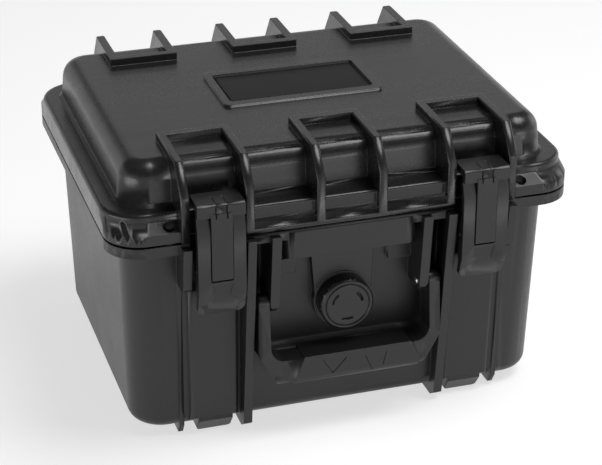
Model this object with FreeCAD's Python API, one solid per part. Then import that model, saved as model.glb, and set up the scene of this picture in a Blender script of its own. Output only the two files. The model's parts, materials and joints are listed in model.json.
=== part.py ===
import FreeCAD, Part
import math
import os

# Waterproof hard case: base, hinged lid, two draw latches, bail handle and purge valve.
# Millimetres. X runs along the front, Y to the back, Z up, with the origin on the floor under the middle.

Vec = FreeCAD.Vector

# Driving sizes
rim_width = 270.0
rim_depth = 220.0
rim_corner = 21.0
part_z = 130.0
rim_gap = 1.3
foot_height = 5.5
foot_half_width = 10.0
wall = 3.0
floor_wall = 3.5
latch_stand = 9.8

rim_half_x = rim_width / 2
rim_half_y = rim_depth / 2
reach = rim_half_y + latch_stand

# Base body
flange_height = 6.0
flange_taper = 6.0
flange_low_z = part_z - flange_height - flange_taper
body_top_half_x = rim_half_x - 10.0
body_top_half_y = rim_half_y - 11.5
body_low_half_x = body_top_half_x - 2.5
body_low_half_y = body_top_half_y - 4.5
body_corner = 20.0
body_bottom_round = 8.0

# Lid
lid_low_z = part_z + rim_gap
band_height = 6.1
band_top_z = lid_low_z + band_height
shelf_rise = 3.8
platform_z = lid_low_z + 14.7
platform_half_y = rim_half_y - 8.0
centre_half_y = rim_half_y - 2.5
dome_top_z = platform_z + 24.0
dome_half_x = rim_half_x - 10.7
dome_half_y = rim_half_y - 17.5
dome_draft = 2.5
dome_corner = 16.0
dome_round = 11.0
dome_foot = 1.8
ledge_thick = 2.8

# Ribs
outer_rib_x = 94.2
latch_rib_x = 58.2
centre_rib_x = 17.9
rib_thick = 5.0
rib_half = rib_thick / 2
rib_top_z = dome_top_z + 4.5
rib_front = rim_half_y + 2.2
rib_knee_z = platform_z + 11.5
rib_top_end = rib_front - 12.2
crossbar_back = dome_half_y - 34.5
crossbar_thick = 4.6
rib_edge = 0.7
ledge_front = rib_front

# Base ribs
base_rib_top_z = part_z - 1.5
base_rib_top = rim_half_y + 6.0
base_rib_low = body_low_half_y + 7.0
base_rib_toe = body_low_half_y - 1.5
base_rib_end_round = 2.0
ear_bottom_z = part_z - 29.5
outer_rib_low_top = ear_bottom_z - 2.0
outer_rib_low = body_low_half_y + 1.0
outer_rib_toe = body_low_half_y - 8.0
outer_rib_thin = 2.8
mount_rib_x = 44.0
mount_rib_thick = 5.4

# Label frame on the lid, left bare
label_width = 96.0
label_depth = 54.0
label_side_border = 4.5
label_border = 6.0
label_height = 1.5
label_corner = 4.0
label_y = 1.0

# Hand recess in the front wall
recess_half_x = latch_rib_x - rib_half - 0.2
recess_back = body_low_half_y - 3.0
recess_low_z = 44.0
recess_top_z = part_z - 8.0
recess_corner = 13.0
recess_round = 8.0

# Front panel under the ledge
panel_front = rim_half_y + 1.3
panel_half_x = mount_rib_x - mount_rib_thick / 2 - 2.8
panel_low_z = part_z - 17.5
panel_round = 6.0

# Pins
pin_radius = 2.0
hook_pin_radius = 1.5
pin_play = 0.06
side_play = 0.3

# Latches
bay_x0 = latch_rib_x + rib_half
bay_x1 = outer_rib_x - rib_half
bay_face = rim_half_y - 8.5
latch_x = (bay_x0 + bay_x1) / 2
latch_half_width = (bay_x1 - bay_x0) / 2 - 2.1
lever_front = reach - 0.8
lever_skin = 4.2
lever_top_front = lever_front - 2.8
lever_low_front = lever_front - 4.8
lever_pin_y = -(lever_front - 10.0)
lever_pin_z = part_z - 8.0
lever_eye_radius = 4.5
lever_cheek = 3.4
lever_top_z = part_z + 17.4
lever_low_z = part_z - 42.5
hook_pin_y = -(lever_front - 3.7)
hook_pin_z = part_z - 15.5
stem_half_width = 5.9
stem_front = reach
stem_end = 4.3
slot_play = 0.35
hook_top_z = lever_top_z + 7.8
hook_plate = 4.2
hook_front = lever_front
toe_gap = 0.4
hook_toe = bay_face + toe_gap

# Handle
arm_thick = 6.2
arm_depth = 11.0
arm_x = mount_rib_x + mount_rib_thick / 2 + side_play + 0.3 + arm_thick / 2
handle_pin_y = -(rim_half_y - 5.6)
handle_pin_z = part_z - 45.5
grip_height = 16.0
grip_low_z = handle_pin_z - 51.0
grip_front = rim_half_y + 3.0
grip_depth = 14.0
grip_round = 9.0
grip_sleeve = 0.8
mount_rib_front = rim_half_y + 5.0
mount_rib_low = rim_half_y - 0.5
mount_rib_end_z = handle_pin_z - 5.5
handle_pin_end = latch_rib_x + rib_half - 0.4

# Hinge
hinge_radius = 4.6
hinge_y = reach - hinge_radius
hinge_z = part_z + rim_gap / 2
hinge_side_play = 0.5

# Seal
seal_half_x = rim_half_x - 9.8
seal_half_y = body_top_half_y
seal_corner = 14.0
seal_width = 3.0
seal_groove_width = 3.4
seal_groove_depth = 3.2
seal_gap = 0.3

# Padlock holes
padlock_x = outer_rib_x + rib_half + 5.2
padlock_y = -(rim_half_y - 4.4)
padlock_radius = 3.25

# Valve
valve_z = part_z - 54.5
valve_seat_y = -(recess_back + 6.0)
valve_knob_radius = 15.6
valve_knob_height = 8.5
valve_seat_radius = valve_knob_radius + 1.8
valve_ring_radius = 12.75
valve_slot_radius = 8.8
valve_line = 0.9
valve_barrel_radius = 6.5
valve_collar_radius = valve_barrel_radius + 3.0
valve_collar_thick = 1.4
valve_seal_thick = 1.8
valve_play = 0.3
valve_stem_radius = 3.0
valve_nut_radius = valve_barrel_radius + 4.5
valve_nut_thick = 5.0

embed = 2.0
beyond = 30.0


def rounded_wire(half_x, half_y, radius, z):
    "Closed rounded rectangle centred on the Z axis."
    r = radius
    k = r * math.sqrt(0.5)
    corners = [(half_x - r, half_y - r, 0), (r - half_x, half_y - r, 90),
               (r - half_x, r - half_y, 180), (half_x - r, r - half_y, 270)]
    edges = []
    ends = []
    for cx, cy, start in corners:
        a0 = math.radians(start)
        a1 = math.radians(start + 45)
        a2 = math.radians(start + 90)
        pts = [Vec(cx + r * math.cos(a), cy + r * math.sin(a), z) for a in (a0, a1, a2)]
        ends.append((pts, Part.Arc(*pts).toShape()))
    for i, (pts, arc) in enumerate(ends):
        edges.append(arc)
        following = ends[(i + 1) % 4][0]
        edges.append(Part.LineSegment(pts[2], following[0]).toShape())
    return Part.Wire(edges)


def prism(half_x, half_y, radius, z0, z1):
    "Upright rounded block."
    face = Part.Face(rounded_wire(half_x, half_y, radius, z0))
    return face.extrude(Vec(0, 0, z1 - z0))


def taper(low, high):
    "Drafted rounded block between two outlines, each (half_x, half_y, radius, z)."
    return Part.makeLoft([rounded_wire(*low), rounded_wire(*high)], True, True)


def side_profile(points, x0, x1):
    "Extrude a polygon given as (y, z) points along X."
    pts = [Vec(x0, y, z) for y, z in points]
    face = Part.Face(Part.makePolygon(pts + [pts[0]]))
    return face.extrude(Vec(x1 - x0, 0, 0))


def front_profile(points, y0, y1):
    "Extrude a polygon given as (x, z) points along Y."
    pts = [Vec(x, y0, z) for x, z in points]
    face = Part.Face(Part.makePolygon(pts + [pts[0]]))
    return face.extrude(Vec(0, y1 - y0, 0))


def block(x0, x1, y0, y1, z0, z1):
    return Part.makeBox(x1 - x0, y1 - y0, z1 - z0, Vec(x0, y0, z0))


def rod_x(y, z, radius, x0, x1):
    return Part.makeCylinder(radius, x1 - x0, Vec(x0, y, z), Vec(1, 0, 0))


def rod_y(x, z, radius, y0, y1):
    return Part.makeCylinder(radius, y1 - y0, Vec(x, y0, z), Vec(0, 1, 0))


def rod_z(x, y, radius, z0, z1):
    return Part.makeCylinder(radius, z1 - z0, Vec(x, y, z0), Vec(0, 0, 1))


def mirrored_x(shape):
    return shape.mirror(Vec(0, 0, 0), Vec(1, 0, 0))


def mirrored_y(shape):
    return shape.mirror(Vec(0, 0, 0), Vec(0, 1, 0))


def both_sides(shape):
    return [shape, mirrored_x(shape)]


def edges_where(shape, test):
    return [e for e in shape.Edges if test(e)]


def edge_box(edge):
    return edge.BoundBox


def upright(edge):
    box = edge_box(edge)
    return box.XLength < 1e-4 and box.YLength < 1e-4


def along_x(edge):
    box = edge_box(edge)
    return box.YLength < 1e-4 and box.ZLength < 1e-4


def at_height(edge, z):
    box = edge_box(edge)
    return abs(box.ZMin - z) < 1e-3 and abs(box.ZMax - z) < 1e-3


def fillet_all(shape, radius, test):
    chosen = edges_where(shape, test)
    return shape.makeFillet(radius, chosen)


def body_half_y(z):
    "Half depth of the drafted base wall at a height."
    share = (z - foot_height) / (flange_low_z - foot_height)
    return body_low_half_y + (body_top_half_y - body_low_half_y) * share


def rib_front_y(z):
    "Front edge of a full-height base rib, which leans back towards the floor."
    share = (z - foot_height) / (base_rib_top_z - foot_height)
    return -(base_rib_low + (base_rib_top - base_rib_low) * share)


def recess_tool(grow):
    "Space of the hand recess, or the larger block that walls it in."
    half = recess_half_x + grow
    tool = block(-half, half, -rim_half_y - beyond, grow - recess_back,
                 recess_low_z - grow, recess_top_z + grow)
    low = recess_low_z - grow
    along_y = edges_where(tool, lambda e: edge_box(e).XLength < 1e-4 and at_height(e, low))
    tool = tool.makeFillet(recess_corner + grow, along_y)
    back = grow - recess_back
    low_back = edges_where(tool, lambda e: abs(edge_box(e).YMin - back) < 1e-3
                           and abs(edge_box(e).YMax - back) < 1e-3
                           and edge_box(e).ZMax < recess_top_z)
    return tool.makeFillet(recess_round, low_back)


def rounded_toe(shape):
    "Round the bottom end of a rib or foot."
    return fillet_all(shape, base_rib_end_round, lambda e: edge_box(e).XLength < 1e-4 and at_height(e, 0))


def base_ribs():
    "Front ribs on one side: latch rib, stepped outer rib and handle mount rib."
    toe_back = body_low_half_y - body_bottom_round - 6
    inside = body_low_half_y - embed - 3
    latch_rib = side_profile([
        (-inside, base_rib_top_z), (-base_rib_top, base_rib_top_z), (-base_rib_low, foot_height),
        (-base_rib_toe - embed, 1), (-base_rib_toe, 0), (-toe_back, 0),
        (-toe_back, foot_height + 1), (-inside, foot_height + 1)],
        latch_rib_x - rib_half, latch_rib_x + rib_half)
    ear_front = rib_front_y(ear_bottom_z)
    outer_rib = side_profile([
        (-inside, base_rib_top_z), (-base_rib_top, base_rib_top_z),
        (ear_front, ear_bottom_z + 3), (ear_front + 3, ear_bottom_z), (-inside, ear_bottom_z)],
        outer_rib_x - rib_half, outer_rib_x + rib_half)
    outer_edge = outer_rib_x + rib_half + 0.4
    outer_low = side_profile([
        (-inside, ear_bottom_z + 1), (-outer_rib_low - 3.3, ear_bottom_z + 1),
        (-outer_rib_low - 3.3, outer_rib_low_top), (-outer_rib_low, foot_height + 2),
        (-outer_rib_toe - 5, 1), (-outer_rib_toe, 0), (-toe_back, 0),
        (-toe_back, foot_height + 1), (-inside, foot_height + 1)],
        outer_edge - outer_rib_thin, outer_edge)
    outer_low = fillet_all(outer_low, outer_rib_thin * 0.4,
                           lambda e: edge_box(e).XLength < 1e-4 and at_height(e, 0))
    half = mount_rib_thick / 2
    mount_rib = side_profile([
        (1 - recess_back, recess_top_z + embed), (-mount_rib_front, base_rib_top_z),
        (-mount_rib_low, mount_rib_end_z + 3.5), (-mount_rib_low + 3.5, mount_rib_end_z),
        (1 - recess_back, mount_rib_end_z)],
        mount_rib_x - half, mount_rib_x + half)
    low_edge = mount_rib_end_z
    mount_rib = fillet_all(mount_rib, 1.8, lambda e: edge_box(e).XLength < 1e-4
                           and edge_box(e).ZMax < low_edge + 4 and edge_box(e).YLength > 1e-3)
    return [rounded_toe(latch_rib), outer_rib, outer_low, mount_rib]


def apron():
    "Plate below a latch, with the foot block under it."
    x0 = latch_x - latch_half_width
    x1 = bay_x1 - 0.9
    plate_top = ear_bottom_z + 3.5
    plate_low = foot_height + 6.5
    top = -body_half_y(plate_top - 8) - 3.5
    low = -body_half_y(plate_low) - 3.5
    inside = -body_low_half_y + wall / 2
    plate = side_profile([(inside, plate_top), (top + 3, plate_top - 3), (top, plate_top - 8),
                          (low, plate_low), (inside, plate_low - 4)], x0, x1)
    plate = fillet_all(plate, 2.0, lambda e: edge_box(e).XLength < 1e-4
                       and edge_box(e).YMin < top + 3.1 and edge_box(e).ZLength > 50)
    foot_back = body_low_half_y - 22
    foot_front = low + 7.3
    foot = side_profile([(low + 0.5, plate_low + 4), (low + 0.5, plate_low - 3), (foot_front, 0),
                         (-foot_back, 0), (-foot_back, foot_height + 1), (inside, foot_height + 4)],
                        latch_x - foot_half_width, latch_x + foot_half_width)
    return [plate, rounded_toe(foot)]


def front_panel():
    "Skirt under the ledge: a shell, open below, with rounded ends."
    outer = block(-panel_half_x, panel_half_x, -panel_front, -recess_back - 1, panel_low_z, base_rib_top_z)
    outer = fillet_all(outer, panel_round, lambda e: upright(e) and edge_box(e).YMin < -panel_front + 1)
    inner = block(wall - panel_half_x, panel_half_x - wall, wall - panel_front, 0,
                  panel_low_z - 1, part_z - flange_height)
    inner = fillet_all(inner, panel_round - wall, lambda e: upright(e) and edge_box(e).YMin < -60)
    return outer.cut(inner)


def valve_pad():
    "Raised tapering pad and round boss that carry the purge valve."
    back = 1 - recess_back
    top_half = valve_seat_radius + 2.4
    low_half = valve_seat_radius - 1
    pad = front_profile([(-top_half, recess_top_z + 1), (top_half, recess_top_z + 1),
                         (low_half, valve_z), (-low_half, valve_z)], valve_seat_y - 2, back)
    slope = side_profile([(back, recess_top_z + 1), (-recess_back - 3, recess_top_z + 1),
                          (valve_seat_y, valve_z), (back, valve_z)], -top_half, top_half)
    boss = rod_y(0, valve_z, valve_seat_radius, valve_seat_y, back)
    return pad.common(slope).fuse(boss)


def recess_tabs():
    "Small raised tabs on the recess wall, just inside the handle mount ribs."
    tab = block(mount_rib_x - 16.5, mount_rib_x, -recess_back - 4, 1 - recess_back,
                panel_low_z - 17, panel_low_z - 8)
    return both_sides(tab)


def hinge_ears():
    "Rear ribs that carry the hinge pins."
    ears = []
    inside = body_top_half_y - embed
    for x in (outer_rib_x, latch_rib_x, centre_rib_x):
        web = side_profile([(inside, part_z), (hinge_y, part_z), (reach - 0.4, part_z - 1.5),
                            (body_top_half_y + 6, ear_bottom_z - 10), (inside, ear_bottom_z - 14)],
                           x - rib_half, x + rib_half)
        disc = rod_x(hinge_y, hinge_z, hinge_radius, x - rib_half, x + rib_half)
        ears += both_sides(web.fuse(disc))
    return ears


def make_base():
    body = taper((body_low_half_x, body_low_half_y, body_corner, foot_height),
                 (body_top_half_x, body_top_half_y, body_corner, flange_low_z))
    body = fillet_all(body, body_bottom_round, lambda e: at_height(e, foot_height))
    skirt = taper((body_top_half_x, body_top_half_y, body_corner, flange_low_z),
                  (rim_half_x, rim_half_y, rim_corner, part_z - flange_height))
    flange = prism(rim_half_x, rim_half_y, rim_corner, part_z - flange_height, part_z)
    shell = body.fuse([skirt, flange])
    bays = both_sides(block(bay_x0, bay_x1, -rim_half_y - beyond, -bay_face, ear_bottom_z, part_z + 1))
    shell = shell.cut(bays)
    shell = shell.cut(recess_tool(0))

    added = []
    for rib in base_ribs():
        added += both_sides(rib)
    for piece in apron():
        added += both_sides(piece)
    rear_foot = block(latch_x - foot_half_width, latch_x + foot_half_width,
                      body_low_half_y - 22, body_low_half_y - 5, 0, foot_height + 3)
    added += both_sides(rear_foot)
    added += [front_panel(), valve_pad()]
    added += recess_tabs()
    added += hinge_ears()

    cavity = taper((body_low_half_x - wall, body_low_half_y - wall, body_corner - wall, foot_height + floor_wall),
                   (body_top_half_x - wall, body_top_half_y - wall, body_corner - wall, part_z + 1))
    cavity = fillet_all(cavity, body_bottom_round - wall, lambda e: at_height(e, foot_height + floor_wall))
    bulge = recess_tool(wall)
    shell = shell.fuse(added)
    shell = shell.fuse(bulge.common(cavity))
    shell = shell.cut(cavity.cut(bulge))
    shell = shell.cut(recess_tool(0).cut(Part.makeCompound(added)))

    holes = []
    holes += both_sides(rod_x(handle_pin_y, handle_pin_z, pin_radius,
                              mount_rib_x - mount_rib_thick, handle_pin_end))
    holes += both_sides(rod_x(lever_pin_y, lever_pin_z, pin_radius,
                              latch_rib_x - rib_thick, outer_rib_x + rib_thick))
    holes += both_sides(rod_z(padlock_x, padlock_y, padlock_radius, flange_low_z - 5, part_z + 1))
    holes.append(rod_y(0, valve_z, valve_barrel_radius + valve_play, valve_seat_y - 1, 0))
    holes.append(rod_y(0, valve_z, valve_collar_radius + valve_play, valve_seat_y - 1,
                       valve_seat_y - 0.2 + valve_collar_thick + valve_seal_thick))
    holes.append(rod_x(hinge_y, hinge_z, pin_radius, -outer_rib_x - rib_thick, outer_rib_x + rib_thick))
    return shell.cut(holes).removeSplitter()


def lid_loops():
    "Rib pairs joined by a crossbar on top, at the front and at the back."
    low_back = dome_half_y - 12
    loops = []
    bars = []
    for x, low in ((outer_rib_x, lid_low_z), (latch_rib_x, lid_low_z + 0.8), (centre_rib_x, lid_low_z + 0.8)):
        front = side_profile([
            (-rib_front, low), (-rib_front, rib_knee_z), (-rib_top_end, rib_top_z), (-crossbar_back, rib_top_z),
            (-crossbar_back, dome_top_z - 4), (-low_back, platform_z), (-low_back, low)],
            x - rib_half, x + rib_half)
        rear = side_profile([
            (rib_front, platform_z - 8), (rib_front, rib_knee_z), (rib_top_end, rib_top_z),
            (crossbar_back, rib_top_z), (crossbar_back, dome_top_z - 4), (low_back, platform_z - 4),
            (rim_half_y - 2, platform_z - 8)],
            x - rib_half, x + rib_half)
        loops += both_sides(front) + both_sides(rear)
    side_bar = (latch_rib_x, outer_rib_x)
    centre_bar = (-centre_rib_x, centre_rib_x)
    for x0, x1 in (side_bar, centre_bar):
        bar = block(x0, x1, -crossbar_back - crossbar_thick, -crossbar_back, dome_top_z - 2, rib_top_z)
        bars += [bar, mirrored_y(bar)]
        if x0 > 0:
            bars += [mirrored_x(bar), mirrored_x(mirrored_y(bar))]
    soft = []
    for rib in loops:
        top = [e for e in rib.Edges if abs(edge_box(e).YMin) > crossbar_back + 1
               and edge_box(e).ZMax > platform_z and edge_box(e).XLength < 1e-4
               and (edge_box(e).ZMin > dome_top_z or abs(edge_box(e).Center.y) > dome_half_y)]
        soft.append(rib.makeChamfer(rib_edge, top))
    return soft + bars


def label_frame():
    "Raised border on the lid, left bare inside."
    half_x = label_width / 2
    half_y = label_depth / 2
    outer = prism(half_x, half_y, label_corner, dome_top_z - 1, dome_top_z + label_height)
    inner = prism(half_x - label_side_border, half_y - label_border, label_corner - 2,
                  dome_top_z - 2, dome_top_z + label_height + 1)
    frame = outer.cut(inner)
    frame.translate(Vec(0, label_y, 0))
    return frame


def lid_barrels():
    "Hinge barrels of the lid, each between two ears of the base, with their webs."
    parts = []
    spans = [(latch_rib_x + rib_half + hinge_side_play, outer_rib_x - rib_half - hinge_side_play),
             (rib_half + hinge_side_play - centre_rib_x, centre_rib_x - rib_half - hinge_side_play)]
    for x0, x1 in spans:
        barrel = rod_x(hinge_y, hinge_z, hinge_radius, x0, x1)
        web = side_profile([(rim_half_y - 4, lid_low_z), (hinge_y, lid_low_z), (hinge_y, hinge_z + hinge_radius),
                            (rim_half_y - 0.5, band_top_z + 1), (rim_half_y - 4, band_top_z + 1)], x0, x1)
        piece = barrel.fuse(web)
        parts.append(piece)
        if x0 > 0:
            parts.append(mirrored_x(piece))
    return parts


def make_lid():
    band = prism(rim_half_x, rim_half_y, rim_corner, lid_low_z, band_top_z)
    top_corner = rim_corner + 2
    shelf = taper((rim_half_x, rim_half_y, rim_corner, band_top_z),
                  (rim_half_x, platform_half_y, top_corner, band_top_z + shelf_rise))
    platform = prism(rim_half_x, platform_half_y, top_corner, band_top_z + shelf_rise, platform_z)
    platform = fillet_all(platform, 2.5, lambda e: at_height(e, platform_z))
    half = latch_rib_x - rib_half + 0.5
    centre = block(-half, half, -centre_half_y, centre_half_y, band_top_z - 1, platform_z)
    centre = fillet_all(centre, 1.5, lambda e: along_x(e) and at_height(e, platform_z))
    dome = taper((dome_half_x, dome_half_y, dome_corner, platform_z - 1),
                 (dome_half_x - dome_draft, dome_half_y - dome_draft, dome_corner - 1, dome_top_z))
    dome = fillet_all(dome, dome_round, lambda e: at_height(e, dome_top_z))
    ledge = block(-latch_rib_x - rib_half, latch_rib_x + rib_half, -ledge_front, -centre_half_y + 1,
                  lid_low_z, lid_low_z + ledge_thick)
    ledge = ledge.makeChamfer(0.6, edges_where(ledge, lambda e: along_x(e) and edge_box(e).YMin < 0.1 - ledge_front))
    foot = taper((dome_half_x + dome_foot, dome_half_y + dome_foot, dome_corner + dome_foot, platform_z - 0.5),
                 (dome_half_x - 0.2, dome_half_y - 0.2, dome_corner, platform_z + dome_foot))
    outer = band.fuse([shelf, platform, centre, dome, foot])
    bays = both_sides(block(bay_x0, bay_x1, -rim_half_y - beyond, -bay_face, lid_low_z - 1, platform_z + 4))
    outer = outer.cut(bays)
    outer = outer.fuse([ledge] + lid_loops() + [label_frame()] + lid_barrels())

    low_half_y = seal_half_y - seal_groove_width / 2 - 1.3
    lower = prism(seal_half_x - seal_groove_width / 2 - 1.5, low_half_y, rim_corner - 6, lid_low_z - 1, platform_z - wall)
    upper = taper((dome_half_x - wall, dome_half_y - wall, dome_corner - wall, platform_z - wall - 1),
                  (dome_half_x - wall - dome_draft, dome_half_y - wall - dome_draft,
                   dome_corner - wall - 1, dome_top_z - wall))
    upper = fillet_all(upper, dome_round - wall, lambda e: at_height(e, dome_top_z - wall))
    groove = prism(seal_half_x + seal_groove_width / 2, seal_half_y + seal_groove_width / 2,
                   seal_corner + seal_groove_width / 2, lid_low_z - 1, lid_low_z + seal_groove_depth)
    core = prism(seal_half_x - seal_groove_width / 2, seal_half_y - seal_groove_width / 2,
                 seal_corner - seal_groove_width / 2, lid_low_z - 2, lid_low_z + seal_groove_depth + 1)
    holes = both_sides(rod_z(padlock_x, padlock_y, padlock_radius, lid_low_z - 1, platform_z))
    holes.append(rod_x(hinge_y, hinge_z, pin_radius + pin_play, -outer_rib_x, outer_rib_x))
    ear_room = []
    for x in (outer_rib_x, latch_rib_x, centre_rib_x):
        ear_room += both_sides(rod_x(hinge_y, hinge_z, hinge_radius + 0.7, x - rib_half - 0.4, x + rib_half + 0.4))
    return outer.cut([lower.fuse(upper), groove.cut(core)] + holes + ear_room).removeSplitter()


def make_seal():
    z0 = part_z + seal_gap
    z1 = lid_low_z + seal_groove_depth
    ring = prism(seal_half_x + seal_width / 2, seal_half_y + seal_width / 2, seal_corner + seal_width / 2, z0, z1)
    ring = ring.makeChamfer(0.6, edges_where(ring, lambda e: at_height(e, z0)))
    hole = prism(seal_half_x - seal_width / 2, seal_half_y - seal_width / 2,
                 seal_corner - seal_width / 2, z0 - 1, z1 + 1)
    return ring.cut(hole)


def over_latch(shape):
    "The same shape on the other side of the latch's middle plane."
    other = mirrored_x(shape)
    other.translate(Vec(2 * latch_x, 0, 0))
    return [shape, other]


def make_lever():
    "Outer latch lever: skin with two arms, a finger relief and two cheeks for its pins."
    top = -lever_top_front
    low = -lever_low_front
    back = lever_skin - lever_front
    side = latch_x + latch_half_width
    skin = side_profile([
        (top, lever_top_z), (-lever_front, lever_top_z - 8), (-lever_front, lever_low_z + 14), (low, lever_low_z),
        (low + lever_skin - 1, lever_low_z), (back, lever_low_z + 16), (back, lever_top_z - 6),
        (top + lever_skin - 1, lever_top_z)],
        latch_x - latch_half_width, side)
    skin = fillet_all(skin, 4.5, lambda e: edge_box(e).XLength < 1e-4 and at_height(e, lever_low_z))
    cheek = side_profile([
        (back - 2, lever_pin_z + 8), (lever_pin_y - 1, lever_pin_z + lever_eye_radius),
        (lever_pin_y, lever_pin_z - lever_eye_radius), (back + 1, lever_low_z + 9.5), (back - 2, lever_low_z + 6.5)],
        side - lever_cheek, side)
    eye = rod_x(lever_pin_y, lever_pin_z, lever_eye_radius, side - lever_cheek, side)
    bush = rod_x(lever_pin_y, lever_pin_z, lever_eye_radius - 0.9, side - 0.5, bay_x1 - side_play)
    slot_half = stem_half_width + slot_play
    lug = side_profile([
        (back - 2, hook_pin_z + 5), (hook_pin_y + 3, hook_pin_z + 3.5),
        (hook_pin_y + 3, hook_pin_z - 3.5), (back - 2, hook_pin_z - 5)],
        latch_x + slot_half, side - 1)
    sides = []
    for piece in (cheek, eye, bush, lug):
        sides += over_latch(piece)
    slot = block(latch_x - slot_half, latch_x + slot_half, -lever_front - 1, 0, hook_pin_z, lever_top_z + 1)
    swing = math.hypot(stem_front + hook_pin_y, stem_end) + slot_play
    swing_room = rod_x(hook_pin_y, hook_pin_z, swing, latch_x - slot_half, latch_x + slot_half)
    relief_top = hook_pin_z - swing - 0.6
    relief = front_profile([(latch_x - 6.5, relief_top), (latch_x + 6.5, relief_top),
                            (latch_x + 2, lever_low_z + 6), (latch_x - 2, lever_low_z + 6)],
                           -lever_front - 1, 0.7 - lever_front)
    lever_hole = rod_x(lever_pin_y, lever_pin_z, pin_radius + pin_play, latch_rib_x, outer_rib_x)
    hook_hole = rod_x(hook_pin_y, hook_pin_z, hook_pin_radius, latch_rib_x, outer_rib_x)
    lever = skin.cut([slot, swing_room]).fuse(sides)
    return lever.cut([relief, lever_hole, hook_hole]).removeSplitter()


def make_hook():
    "Inner latch hook: stem, wide head and the toe that reaches over the lid's edge."
    under = lever_top_z + slot_play
    stem = block(latch_x - stem_half_width, latch_x + stem_half_width, -stem_front,
                 hook_plate - stem_front, hook_pin_z - stem_end, under + 2)
    heel = rod_x(hook_pin_y, hook_pin_z, stem_end, latch_x - stem_half_width, latch_x + stem_half_width)
    plate_under = hook_top_z - hook_plate
    head = side_profile([
        (-hook_front, under), (-hook_front, hook_top_z - 1.4), (1.4 - hook_front, hook_top_z),
        (-hook_toe, hook_top_z), (-hook_toe, plate_under - 2), (-hook_toe - 2, plate_under - 2),
        (-hook_toe - 3, plate_under), (hook_plate - hook_front, plate_under), (hook_plate - hook_front, under)],
        latch_x - latch_half_width, latch_x + latch_half_width)
    line_x = latch_x + 3.1
    front_line = block(line_x - 0.4, line_x + 0.4, -stem_front - 1, 0.6 - hook_front, under - 1, hook_top_z + 1)
    top_line = block(line_x - 0.4, line_x + 0.4, -stem_front - 1, -hook_toe - 6, hook_top_z - 0.6, hook_top_z + 1)
    lines = over_latch(front_line) + over_latch(top_line)
    hook = head.fuse([stem, heel]).cut(lines)
    bore = rod_x(hook_pin_y, hook_pin_z, hook_pin_radius + pin_play, latch_rib_x, outer_rib_x)
    return hook.cut(bore).removeSplitter()


def closed_outline(points, arcs, place):
    "Wire through points; arcs maps a start index to the middle point of an arc to the next point."
    edges = []
    for i, point in enumerate(points):
        following = points[(i + 1) % len(points)]
        if i in arcs:
            edges.append(Part.Arc(place(*point), place(*arcs[i]), place(*following)).toShape())
        else:
            edges.append(Part.LineSegment(place(*point), place(*following)).toShape())
    return Part.Face(Part.Wire(edges))


def handle_side(grow):
    "Side outline of the handle: round eye, arm that widens into the grip, rounded grip."
    r = arm_depth / 2
    front = -grip_front - grow
    back = grip_depth - grip_front + grow
    low = grip_low_z - grow
    points = [
        (handle_pin_y - r, handle_pin_z), (handle_pin_y + r, handle_pin_z), (back, grip_low_z + grip_height + 4),
        (back, low + 5), (back - 5, low), (front + 5, low), (front, low + 5), (front, grip_low_z + grip_height + 4)]
    k = 5 * (1 - math.sqrt(0.5))
    arcs = {0: (handle_pin_y, handle_pin_z + r), 3: (back - k, low + k), 5: (front + k, low + k)}
    face = closed_outline(points, arcs, lambda y, z: Vec(-arm_x * 2, y, z))
    return face.extrude(Vec(4 * arm_x, 0, 0))


def make_handle():
    "Bail handle: two arms with eyes and a thick grip with a raised sleeve."
    x_out = arm_x + arm_thick / 2
    x_in = arm_x - arm_thick / 2
    low = grip_low_z
    top = low + grip_height
    high = handle_pin_z + arm_depth
    r = grip_round
    k = r * (1 - math.sqrt(0.5))
    points = [
        (-x_out, high), (-x_out, low + 19), (11 - x_out, low - 1), (x_out - 11, low - 1), (x_out, low + 19),
        (x_out, high), (x_in, high), (x_in, top + r), (x_in - r, top), (r - x_in, top), (-x_in, top + r),
        (-x_in, high)]
    arcs = {7: (x_in - k, top + k), 9: (k - x_in, top + k)}
    loop = closed_outline(points, arcs, lambda x, z: Vec(x, -rim_half_y - beyond, z)).extrude(Vec(0, 2 * beyond, 0))
    sleeve = front_profile([(-35, low), (-27, low - 3), (39, low - 3), (42, low + 4),
                            (36, top + 1), (-28, top + 1)], -rim_half_y - beyond, beyond - rim_half_y)
    handle = loop.common(handle_side(0)).fuse(sleeve.common(handle_side(grip_sleeve)))
    spacers = both_sides(rod_x(handle_pin_y, handle_pin_z, 3.6, x_out - 0.5, latch_rib_x - rib_half - side_play))
    bore = rod_x(handle_pin_y, handle_pin_z, pin_radius + pin_play, -latch_rib_x, latch_rib_x)
    return handle.fuse(spacers).cut(bore).removeSplitter()


def ring_slot(middle, span, radius, width, y0, y1):
    "Arc-shaped slot round the valve's axis; angles in degrees seen from the front."
    a = [math.radians(middle + k * span / 2) for k in (-1, 0, 1)]
    far = radius + width / 2
    near = radius - width / 2
    points = [(far, a[0]), (far, a[2]), (near, a[2]), (near, a[0])]
    arcs = {0: (far, a[1]), 2: (near, a[1])}
    face = closed_outline(points, arcs, lambda d, t: Vec(d * math.cos(t), y0, valve_z + d * math.sin(t)))
    return face.extrude(Vec(0, y1 - y0, 0))


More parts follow.
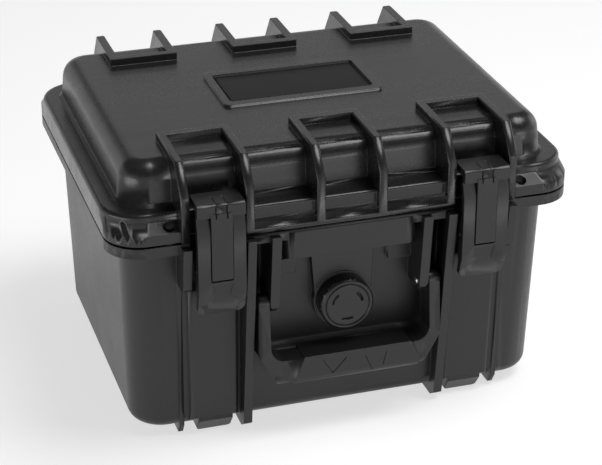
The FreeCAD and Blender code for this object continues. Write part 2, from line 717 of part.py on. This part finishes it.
def make_valve_knob():
    face = valve_seat_y - valve_knob_height
    knob = rod_y(0, valve_z, valve_knob_radius, face, valve_seat_y - 0.3)
    knob = knob.makeChamfer(1.2, edges_where(knob, lambda e: abs(edge_box(e).YMax - face) < 1e-3
                                             and edge_box(e).XLength > 1))
    ring = rod_y(0, valve_z, valve_ring_radius + valve_line / 2, face - 1, face + valve_line)
    ring = ring.cut(rod_y(0, valve_z, valve_ring_radius - valve_line / 2, face - 2, face + 2))
    slots = [ring_slot(middle, 46, valve_slot_radius, 1.8, face - 1, face + 2) for middle in (30, 150, 270)]
    stem = rod_y(0, valve_z, valve_stem_radius, valve_seat_y - 1, valve_seat_y + 9)
    return knob.fuse(stem).cut([ring] + slots).removeSplitter()


def make_valve_body():
    "Barrel through the wall with a collar under the knob, bored for the knob's stem."
    inner_wall = wall - recess_back
    collar_front = valve_seat_y - 0.2
    barrel_end = inner_wall + valve_nut_thick + 4
    barrel = rod_y(0, valve_z, valve_barrel_radius, collar_front + 0.2, barrel_end)
    collar = rod_y(0, valve_z, valve_collar_radius, collar_front, collar_front + valve_collar_thick)
    bore = rod_y(0, valve_z, valve_stem_radius + pin_play, valve_seat_y - 2, valve_seat_y + 11)
    vent = rod_y(0, valve_z, valve_barrel_radius - 2, valve_seat_y + 11, barrel_end + 1)
    return barrel.fuse(collar).cut([bore, vent]).removeSplitter()


def make_valve_nut():
    inner_wall = wall - recess_back
    points = []
    for i in range(6):
        a = math.radians(60 * i)
        points.append((valve_nut_radius * math.cos(a), valve_z + valve_nut_radius * math.sin(a)))
    nut = front_profile(points, inner_wall, inner_wall + valve_nut_thick)
    return nut.cut(rod_y(0, valve_z, valve_barrel_radius, inner_wall - 1, inner_wall + 6))


def pin_x(y, z, radius, x0, x1):
    "Straight pin with chamfered ends."
    pin = rod_x(y, z, radius, x0, x1)
    ends = edges_where(pin, lambda e: edge_box(e).YLength > radius and edge_box(e).XLength < 1e-3)
    return pin.makeChamfer(0.3, ends)


def main():
    inner_wall = wall - recess_back
    nodes = {
        "base_shell": make_base(),
        "lid_shell": make_lid(),
        "lid_seal": make_seal(),
        "handle": make_handle(),
        "valve_knob": make_valve_knob(),
        "valve_body": make_valve_body(),
        "valve_nut": make_valve_nut(),
    }
    collar_back = valve_seat_y - 0.2 + valve_collar_thick
    seal = rod_y(0, valve_z, valve_collar_radius, collar_back, collar_back + valve_seal_thick)
    nodes["valve_seal"] = seal.cut(rod_y(0, valve_z, valve_barrel_radius, collar_back - 1, collar_back + 4))
    vent_z = inner_wall + valve_nut_thick + 2
    nodes["valve_membrane"] = rod_y(0, valve_z, valve_barrel_radius - 2, vent_z, vent_z + 1)

    lever = make_lever()
    hook = make_hook()
    lever_pin = pin_x(lever_pin_y, lever_pin_z, pin_radius, latch_rib_x - rib_half, outer_rib_x + rib_half)
    hook_pin = pin_x(hook_pin_y, hook_pin_z, hook_pin_radius,
                     latch_x - latch_half_width + side_play, latch_x + latch_half_width - side_play)
    handle_pin = pin_x(handle_pin_y, handle_pin_z, pin_radius,
                       mount_rib_x - mount_rib_thick / 2 - 0.8, handle_pin_end)
    hinge_pin = pin_x(hinge_y, hinge_z, pin_radius, latch_rib_x - rib_half, outer_rib_x + rib_half)
    pairs = {"latch_lever": lever, "latch_hook": hook, "latch_lever_pin": lever_pin,
             "latch_hook_pin": hook_pin, "handle_pin": handle_pin, "hinge_pin": hinge_pin}
    for name, shape in pairs.items():
        nodes[name + "_right"] = shape
        nodes[name + "_left"] = mirrored_x(shape)
    nodes["hinge_pin_centre"] = pin_x(hinge_y, hinge_z, pin_radius,
                                      -centre_rib_x - rib_half, centre_rib_x + rib_half)

    os.makedirs("parts", exist_ok=True)
    for name, shape in nodes.items():
        shape.exportStep("parts/" + name + ".step")


main()
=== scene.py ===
import json
import math

import bpy
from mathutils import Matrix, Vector


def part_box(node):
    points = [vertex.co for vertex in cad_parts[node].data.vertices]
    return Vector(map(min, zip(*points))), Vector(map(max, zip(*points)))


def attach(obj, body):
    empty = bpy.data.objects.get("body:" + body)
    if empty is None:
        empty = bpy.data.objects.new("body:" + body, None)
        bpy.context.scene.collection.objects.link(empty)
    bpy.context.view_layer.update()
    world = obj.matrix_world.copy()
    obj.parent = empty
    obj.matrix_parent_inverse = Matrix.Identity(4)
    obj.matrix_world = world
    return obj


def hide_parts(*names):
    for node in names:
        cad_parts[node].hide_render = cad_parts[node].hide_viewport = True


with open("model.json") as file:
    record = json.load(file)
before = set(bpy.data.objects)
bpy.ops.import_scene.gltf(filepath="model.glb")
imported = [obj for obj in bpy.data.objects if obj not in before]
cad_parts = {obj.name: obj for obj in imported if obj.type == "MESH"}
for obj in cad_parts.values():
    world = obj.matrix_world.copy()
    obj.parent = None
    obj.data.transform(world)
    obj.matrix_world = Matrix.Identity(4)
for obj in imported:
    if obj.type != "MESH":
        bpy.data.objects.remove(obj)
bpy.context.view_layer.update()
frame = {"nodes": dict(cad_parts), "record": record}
bpy.ops.object.select_all(action="DESELECT")
bpy.context.scene.view_settings.view_transform = "Standard"

SWEEP_RADIUS = 2.4
SWEEP_WALL = 0.95
SWEEP_BEND = 0.35
MERGE_DISTANCE = 0.00001
EDGE_ROUND = 0.0008
SMOOTH_ANGLE = math.radians(33)
SAME_PLANE = 0.99998
BENT_PLANE = 0.9998
FLAT_WIDTH = 0.0045
WIDE_FLAT = 0.02
LIKE_AREAS = (0.3, 3.3)


# Camera, lamps and floor

def add_camera():
    "Long lens from above the left front corner, as in the photograph."
    eye = Vector((-0.3098, -1.0073, 0.5893))
    aim = Vector((0.00527, 0.0, 0.07089))
    camera_data = bpy.data.cameras.new("camera")
    camera_data.sensor_width = 36.0
    camera_data.lens = 114.52
    camera = bpy.data.objects.new("camera", camera_data)
    bpy.context.scene.collection.objects.link(camera)
    camera.location = eye
    camera.rotation_mode = "QUATERNION"
    camera.rotation_quaternion = (aim - eye).to_track_quat("-Z", "Y")
    bpy.context.scene.camera = camera


def soft_lamp(name, place, target, width, height, brightness):
    "Softbox aimed at a point. Brightness is how bright its face looks."
    lamp_data = bpy.data.lights.new(name, "AREA")
    lamp_data.shape = "RECTANGLE"
    lamp_data.size = width
    lamp_data.size_y = height
    lamp_data.energy = brightness * math.pi * width * height
    lamp = bpy.data.objects.new(name, lamp_data)
    bpy.context.scene.collection.objects.link(lamp)
    lamp.location = place
    lamp.rotation_mode = "QUATERNION"
    lamp.rotation_quaternion = (Vector(target) - Vector(place)).to_track_quat("-Z", "Y")
    lamp.visible_camera = False


def floor_panel(name, azimuth, near, far, rise, width, brightness):
    "Lamp that lies on the floor beside the case and rises away from it."
    way = Vector((math.sin(math.radians(azimuth)), math.cos(math.radians(azimuth)), 0))
    low = way * near + Vector((0, 0, 0.012))
    high = way * far + Vector((0, 0, rise))
    along = high - low
    face = along.cross(way.cross(Vector((0, 0, 1)))).normalized()
    if face.z < 0:
        face = -face
    middle = (low + high) / 2
    soft_lamp(name, middle, middle + face, width, along.length, brightness)


def add_lamps():
    soft_lamp("overhead_softbox", (0.40, -0.23, 1.20), (0, 0, 0.12), 0.62, 0.75, 7.5)
    soft_lamp("rear_softbox", (0.45, 1.75, 1.15), (0, 0, 0.1), 1.5, 0.35, 0.75)
    soft_lamp("right_softbox", (1.5, 0.35, 0.55), (0, 0, 0.1), 0.8, 0.8, 1.1)
    floor_panel("left_floor_panel", -112, 0.85, 1.6, 0.22, 0.9, 4.5)
    floor_panel("front_floor_panel", 156, 0.95, 1.6, 0.20, 0.8, 3.4)


def shines(tree, strength):
    "Glow that only the camera, gloss and glass see."
    path = tree.nodes.new("ShaderNodeLightPath")
    first = tree.nodes.new("ShaderNodeMath")
    first.operation = "MAXIMUM"
    second = tree.nodes.new("ShaderNodeMath")
    second.operation = "MAXIMUM"
    level = tree.nodes.new("ShaderNodeMath")
    level.operation = "MULTIPLY"
    level.inputs[1].default_value = strength
    glow = tree.nodes.new("ShaderNodeEmission")
    tree.links.new(path.outputs["Is Camera Ray"], first.inputs[0])
    tree.links.new(path.outputs["Is Glossy Ray"], first.inputs[1])
    tree.links.new(first.outputs[0], second.inputs[0])
    tree.links.new(path.outputs["Is Transmission Ray"], second.inputs[1])
    tree.links.new(second.outputs[0], level.inputs[0])
    tree.links.new(level.outputs[0], glow.inputs["Strength"])
    return glow


def add_floor():
    "Round white sweep: flat floor that curves up into a low wall."
    bpy.ops.mesh.primitive_circle_add(vertices=96, radius=SWEEP_RADIUS, fill_type="NGON",
                                      enter_editmode=True)
    bpy.ops.mesh.select_all(action="SELECT")
    bpy.ops.mesh.extrude_region_move(TRANSFORM_OT_translate={"value": (0, 0, SWEEP_WALL)})
    bpy.ops.mesh.delete(type="ONLY_FACE")
    bpy.ops.mesh.select_all(action="SELECT")
    bpy.ops.mesh.normals_make_consistent(inside=True)
    bpy.ops.object.mode_set(mode="OBJECT")
    sweep = bpy.context.active_object
    sweep.name = "sweep"
    bend = sweep.modifiers.new("bend", "BEVEL")
    bend.width = SWEEP_BEND
    bend.segments = 8
    bend.limit_method = "ANGLE"
    bend.angle_limit = math.radians(60)
    bpy.ops.object.modifier_apply(modifier="bend")
    bpy.ops.object.shade_smooth_by_angle(angle=math.radians(30))
    paint = bpy.data.materials.new("sweep_white")
    paint.use_nodes = True
    tree = paint.node_tree
    tree.nodes.clear()
    out = tree.nodes.new("ShaderNodeOutputMaterial")
    matt = tree.nodes.new("ShaderNodeBsdfDiffuse")
    matt.inputs["Color"].default_value = (0.5, 0.5, 0.5, 1)
    both = tree.nodes.new("ShaderNodeAddShader")
    tree.links.new(matt.outputs[0], both.inputs[0])
    tree.links.new(shines(tree, 0.66).outputs[0], both.inputs[1])
    tree.links.new(both.outputs[0], out.inputs["Surface"])
    sweep.data.materials.append(paint)


def add_world():
    "Dim room above the sweep."
    world = bpy.data.worlds.new("room")
    bpy.context.scene.world = world
    world.use_nodes = True
    shade = world.node_tree.nodes["Background"]
    shade.inputs["Color"].default_value = (1, 1, 1, 1)
    shade.inputs["Strength"].default_value = 0.10


# Finishes

def noise(tree, place, scale, detail, rough=0.5, stretch=None):
    "Noise on the object's own coordinates, stretched if asked."
    pattern = tree.nodes.new("ShaderNodeTexNoise")
    pattern.inputs["Scale"].default_value = scale
    pattern.inputs["Detail"].default_value = detail
    pattern.inputs["Roughness"].default_value = rough
    if stretch:
        turn = tree.nodes.new("ShaderNodeMapping")
        turn.inputs["Scale"].default_value = stretch
        tree.links.new(place.outputs["Object"], turn.inputs["Vector"])
        tree.links.new(turn.outputs["Vector"], pattern.inputs["Vector"])
    else:
        tree.links.new(place.outputs["Object"], pattern.inputs["Vector"])
    return pattern


def spread(tree, source, low, high, to_low, to_high):
    "Map a range of one value onto another."
    scale = tree.nodes.new("ShaderNodeMapRange")
    scale.inputs["From Min"].default_value = low
    scale.inputs["From Max"].default_value = high
    scale.inputs["To Min"].default_value = to_low
    scale.inputs["To Max"].default_value = to_high
    tree.links.new(source, scale.inputs["Value"])
    return scale.outputs["Result"]


def total(tree, one, other):
    plus = tree.nodes.new("ShaderNodeMath")
    plus.operation = "ADD"
    tree.links.new(one, plus.inputs[0])
    tree.links.new(other, plus.inputs[1])
    return plus.outputs[0]


def moulded_plastic(name, tone, roughness, grain, depth, streaks):
    "Black moulded plastic with a fine grain, flow marks in the gloss and a mottled tone."
    paint = bpy.data.materials.new(name)
    paint.use_nodes = True
    tree = paint.node_tree
    shader = tree.nodes["Principled BSDF"]
    place = tree.nodes.new("ShaderNodeTexCoord")
    flow = noise(tree, place, 16, 5, 0.6)
    drawn = noise(tree, place, 1, 4, 0.55, (4, 110, 110))
    patches = noise(tree, place, grain * 0.55, 2)
    pores = noise(tree, place, grain * 2.2, 3)
    gloss = spread(tree, flow.outputs["Fac"], 0.3, 0.7, roughness - 0.03, roughness + 0.03)
    lines = spread(tree, drawn.outputs["Fac"], 0.3, 0.7, -streaks, streaks)
    mottle = spread(tree, patches.outputs["Fac"], 0.3, 0.7, -0.02, 0.02)
    tree.links.new(total(tree, total(tree, gloss, lines), mottle), shader.inputs["Roughness"])
    shade = tree.nodes.new("ShaderNodeValToRGB")
    shade.color_ramp.elements[0].position = 0.3
    shade.color_ramp.elements[0].color = (tone * 0.86, tone * 0.86, tone * 0.88, 1)
    shade.color_ramp.elements[1].position = 0.72
    shade.color_ramp.elements[1].color = (tone * 1.16, tone * 1.16, tone * 1.2, 1)
    tree.links.new(patches.outputs["Fac"], shade.inputs["Fac"])
    tree.links.new(shade.outputs["Color"], shader.inputs["Base Color"])
    fine = spread(tree, pores.outputs["Fac"], 0, 1, 0, 0.35)
    coarse = spread(tree, patches.outputs["Fac"], 0, 1, 0, 0.65)
    bump = tree.nodes.new("ShaderNodeBump")
    bump.inputs["Strength"].default_value = depth
    bump.inputs["Distance"].default_value = 0.0001
    tree.links.new(total(tree, fine, coarse), bump.inputs["Height"])
    soft_edge = tree.nodes.new("ShaderNodeBevel")
    soft_edge.samples = 6
    soft_edge.inputs["Radius"].default_value = EDGE_ROUND
    tree.links.new(soft_edge.outputs["Normal"], bump.inputs["Normal"])
    tree.links.new(bump.outputs["Normal"], shader.inputs["Normal"])
    return paint


def label_plastic():
    "Bare label plate: dull, slightly pebbled black."
    paint = moulded_plastic("label_plate_plastic", 0.010, 0.55, 1400, 0.25, 0.01)
    paint.node_tree.nodes["Principled BSDF"].inputs["Specular IOR Level"].default_value = 0.22
    return paint


def seal_rubber():
    "Dull black rubber with a soft bloom."
    paint = moulded_plastic("seal_rubber", 0.022, 0.68, 1100, 0.35, 0.02)
    paint.node_tree.nodes["Principled BSDF"].inputs["Specular IOR Level"].default_value = 0.35
    return paint


def drawn_steel(name, tone, roughness):
    "Drawn pin steel with fine lines along the pin."
    paint = bpy.data.materials.new(name)
    paint.use_nodes = True
    tree = paint.node_tree
    shader = tree.nodes["Principled BSDF"]
    shader.inputs["Metallic"].default_value = 1.0
    place = tree.nodes.new("ShaderNodeTexCoord")
    lines = noise(tree, place, 3, 4, 0.5, (40, 900, 900))
    stains = noise(tree, place, 240, 3)
    gloss = spread(tree, lines.outputs["Fac"], 0.3, 0.7, roughness - 0.07, roughness + 0.07)
    tree.links.new(gloss, shader.inputs["Roughness"])
    shade = tree.nodes.new("ShaderNodeValToRGB")
    shade.color_ramp.elements[0].position = 0.3
    shade.color_ramp.elements[0].color = (tone * 0.78, tone * 0.78, tone * 0.8, 1)
    shade.color_ramp.elements[1].position = 0.7
    shade.color_ramp.elements[1].color = (tone, tone, tone * 1.01, 1)
    tree.links.new(stains.outputs["Fac"], shade.inputs["Fac"])
    tree.links.new(shade.outputs["Color"], shader.inputs["Base Color"])
    return paint


# Pieces

def select_only(piece):
    bpy.ops.object.select_all(action="DESELECT")
    piece.select_set(True)
    bpy.context.view_layer.objects.active = piece


def merged_copy(node):
    "Copy of a solid with its doubled corners merged."
    piece = frame["nodes"][node].copy()
    piece.data = piece.data.copy()
    piece.name = node + "_moulded"
    for key in list(piece.keys()):
        del piece[key]
    piece.parent = None
    bpy.context.scene.collection.objects.link(piece)
    select_only(piece)
    bpy.ops.object.mode_set(mode="EDIT")
    bpy.ops.mesh.select_all(action="SELECT")
    bpy.ops.mesh.remove_doubles(threshold=MERGE_DISTANCE)
    bpy.ops.object.mode_set(mode="OBJECT")
    return piece


def flat_faces(mesh):
    "For each face, the direction of the wide flat that it is part of, or None on a curve."
    faces = mesh.polygons
    beside = {}
    for face in faces:
        for key in face.edge_keys:
            beside.setdefault(key, []).append(face.index)
    group_of = {}
    groups = []
    for seed in faces:
        if seed.index in group_of:
            continue
        group_of[seed.index] = len(groups)
        group = [seed.index]
        for index in group:
            for key in faces[index].edge_keys:
                for other in beside[key]:
                    alike = faces[other].normal.dot(seed.normal) > SAME_PLANE
                    if other not in group_of and alike:
                        group_of[other] = len(groups)
                        group.append(other)
        groups.append(group)
    areas = [sum(faces[index].area for index in group) for group in groups]
    flat = [None] * len(faces)
    for number, group in enumerate(groups):
        corners = [mesh.vertices[v].co for index in group for v in faces[index].vertices]
        span = max(max(c[k] for c in corners) - min(c[k] for c in corners) for k in range(3))
        facing = faces[group[0]].normal
        neighbours = {group_of[other] for index in group
                      for key in faces[index].edge_keys for other in beside[key]}
        strip = any(LIKE_AREAS[0] < areas[other] / areas[number] < LIKE_AREAS[1]
                    and math.cos(SMOOTH_ANGLE) < faces[groups[other][0]].normal.dot(facing) < BENT_PLANE
                    for other in neighbours if other != number and areas[number] > 0)
        width = areas[number] / span if span else 0
        if width > WIDE_FLAT or (width > FLAT_WIDTH and not strip):
            for index in group:
                flat[index] = facing.copy()
    return flat


def soften(piece):
    "Shade the fillets smooth, and keep each flat flat right up to the fillets that leave it."
    select_only(piece)
    bpy.ops.object.shade_smooth_by_angle(angle=SMOOTH_ANGLE)
    mesh = piece.data
    flat = flat_faces(mesh)
    touching = {}
    for face in mesh.polygons:
        if flat[face.index]:
            for corner in face.vertices:
                touching.setdefault(corner, []).append(flat[face.index])
    directions = []
    for face in mesh.polygons:
        for corner in face.vertices:
            best = max(touching.get(corner, []), key=face.normal.dot, default=None)
            if best and best.dot(face.normal) > math.cos(SMOOTH_ANGLE):
                directions.append(best)
            else:
                directions.append((0, 0, 0))
    mesh.normals_split_custom_set(directions)


def dress(piece, node, paint):
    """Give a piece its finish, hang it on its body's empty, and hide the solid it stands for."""
    piece.data.materials.clear()
    piece.data.materials.append(paint)
    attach(piece, body_of[node])
    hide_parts(node)


def cut_grip_marks(handle):
    "Shallow chevron lines on the grip's front face."
    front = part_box("handle")[0][1]
    marks = [((-17.0, 47.0), (-11.4, 38.0)), ((-11.4, 38.0), (-3.3, 46.6)),
             ((8.2, 45.6), (12.5, 36.0)), ((20.7, 46.5), (19.0, 38.8))]
    for start, end in marks:
        run = (end[0] - start[0]) / 1000
        drop = (end[1] - start[1]) / 1000
        middle = ((start[0] + end[0]) / 2000, front, (start[1] + end[1]) / 2000)
        length = math.hypot(run, drop) + 0.0004
        bpy.ops.mesh.primitive_cube_add(size=1, location=middle, scale=(length, 0.0010, 0.0006),
                                        rotation=(0, -math.atan2(drop, run), 0))
        tool = bpy.context.active_object
        select_only(handle)
        groove = handle.modifiers.new("groove", "BOOLEAN")
        groove.operation = "DIFFERENCE"
        groove.object = tool
        bpy.ops.object.modifier_apply(modifier="groove")
        bpy.data.objects.remove(tool, do_unlink=True)


def add_label_plate(paint):
    "Blank plate inside the raised frame on the lid."
    bpy.ops.object.select_all(action="DESELECT")
    bpy.ops.mesh.primitive_cube_add(size=1, location=(0, 0.001, 0.1702),
                                    scale=(0.0866, 0.0416, 0.0006))
    plate = bpy.context.active_object
    plate.name = "label_plate"
    bpy.ops.object.transform_apply(location=True, rotation=True, scale=True)
    for corner in (True, False):
        for edge in plate.data.edges:
            a, b = (plate.data.vertices[i].co for i in edge.vertices)
            upright = abs(a.z - b.z) > 0.0003
            on_top = min(a.z, b.z) > 0.1704
            edge.select = upright if corner else on_top
        for side in plate.data.polygons:
            side.select = False
        bpy.ops.object.mode_set(mode="EDIT")
        bpy.ops.mesh.select_mode(type="EDGE")
        bpy.ops.mesh.bevel(offset=0.0019 if corner else 0.00018, segments=6 if corner else 2)
        bpy.ops.object.mode_set(mode="OBJECT")
    bpy.ops.object.shade_smooth_by_angle(angle=math.radians(40))
    plate.data.materials.append(paint)
    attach(plate, "lid")


add_camera()
add_lamps()
add_floor()
add_world()

body_of = {}
for body, members in frame["record"]["behaviour"]["bodies"].items():
    for member in members:
        body_of[member] = body
slot_of = {row["node"]: row["material_slot"] for row in frame["record"]["subparts"]}

paints = {
    "lid_plastic": moulded_plastic("lid_satin", 0.014, 0.29, 700, 0.25, 0.035),
    "base_plastic": moulded_plastic("base_grained", 0.013, 0.38, 900, 0.5, 0.01),
    "latch_plastic": moulded_plastic("latch_grained", 0.012, 0.36, 950, 0.45, 0.01),
    "handle_plastic": moulded_plastic("handle_grained", 0.012, 0.37, 850, 0.45, 0.01),
    "valve_plastic": moulded_plastic("valve_smooth", 0.012, 0.33, 1000, 0.2, 0.005),
    "seal_rubber": seal_rubber(),
    "pin_steel": drawn_steel("pin_steel", 0.62, 0.28),
    "pin_black": drawn_steel("pin_black", 0.05, 0.42),
}
for node, slot in slot_of.items():
    piece = merged_copy(node)
    if node == "handle":
        cut_grip_marks(piece)
    soften(piece)
    dress(piece, node, paints[slot])
add_label_plate(label_plastic())
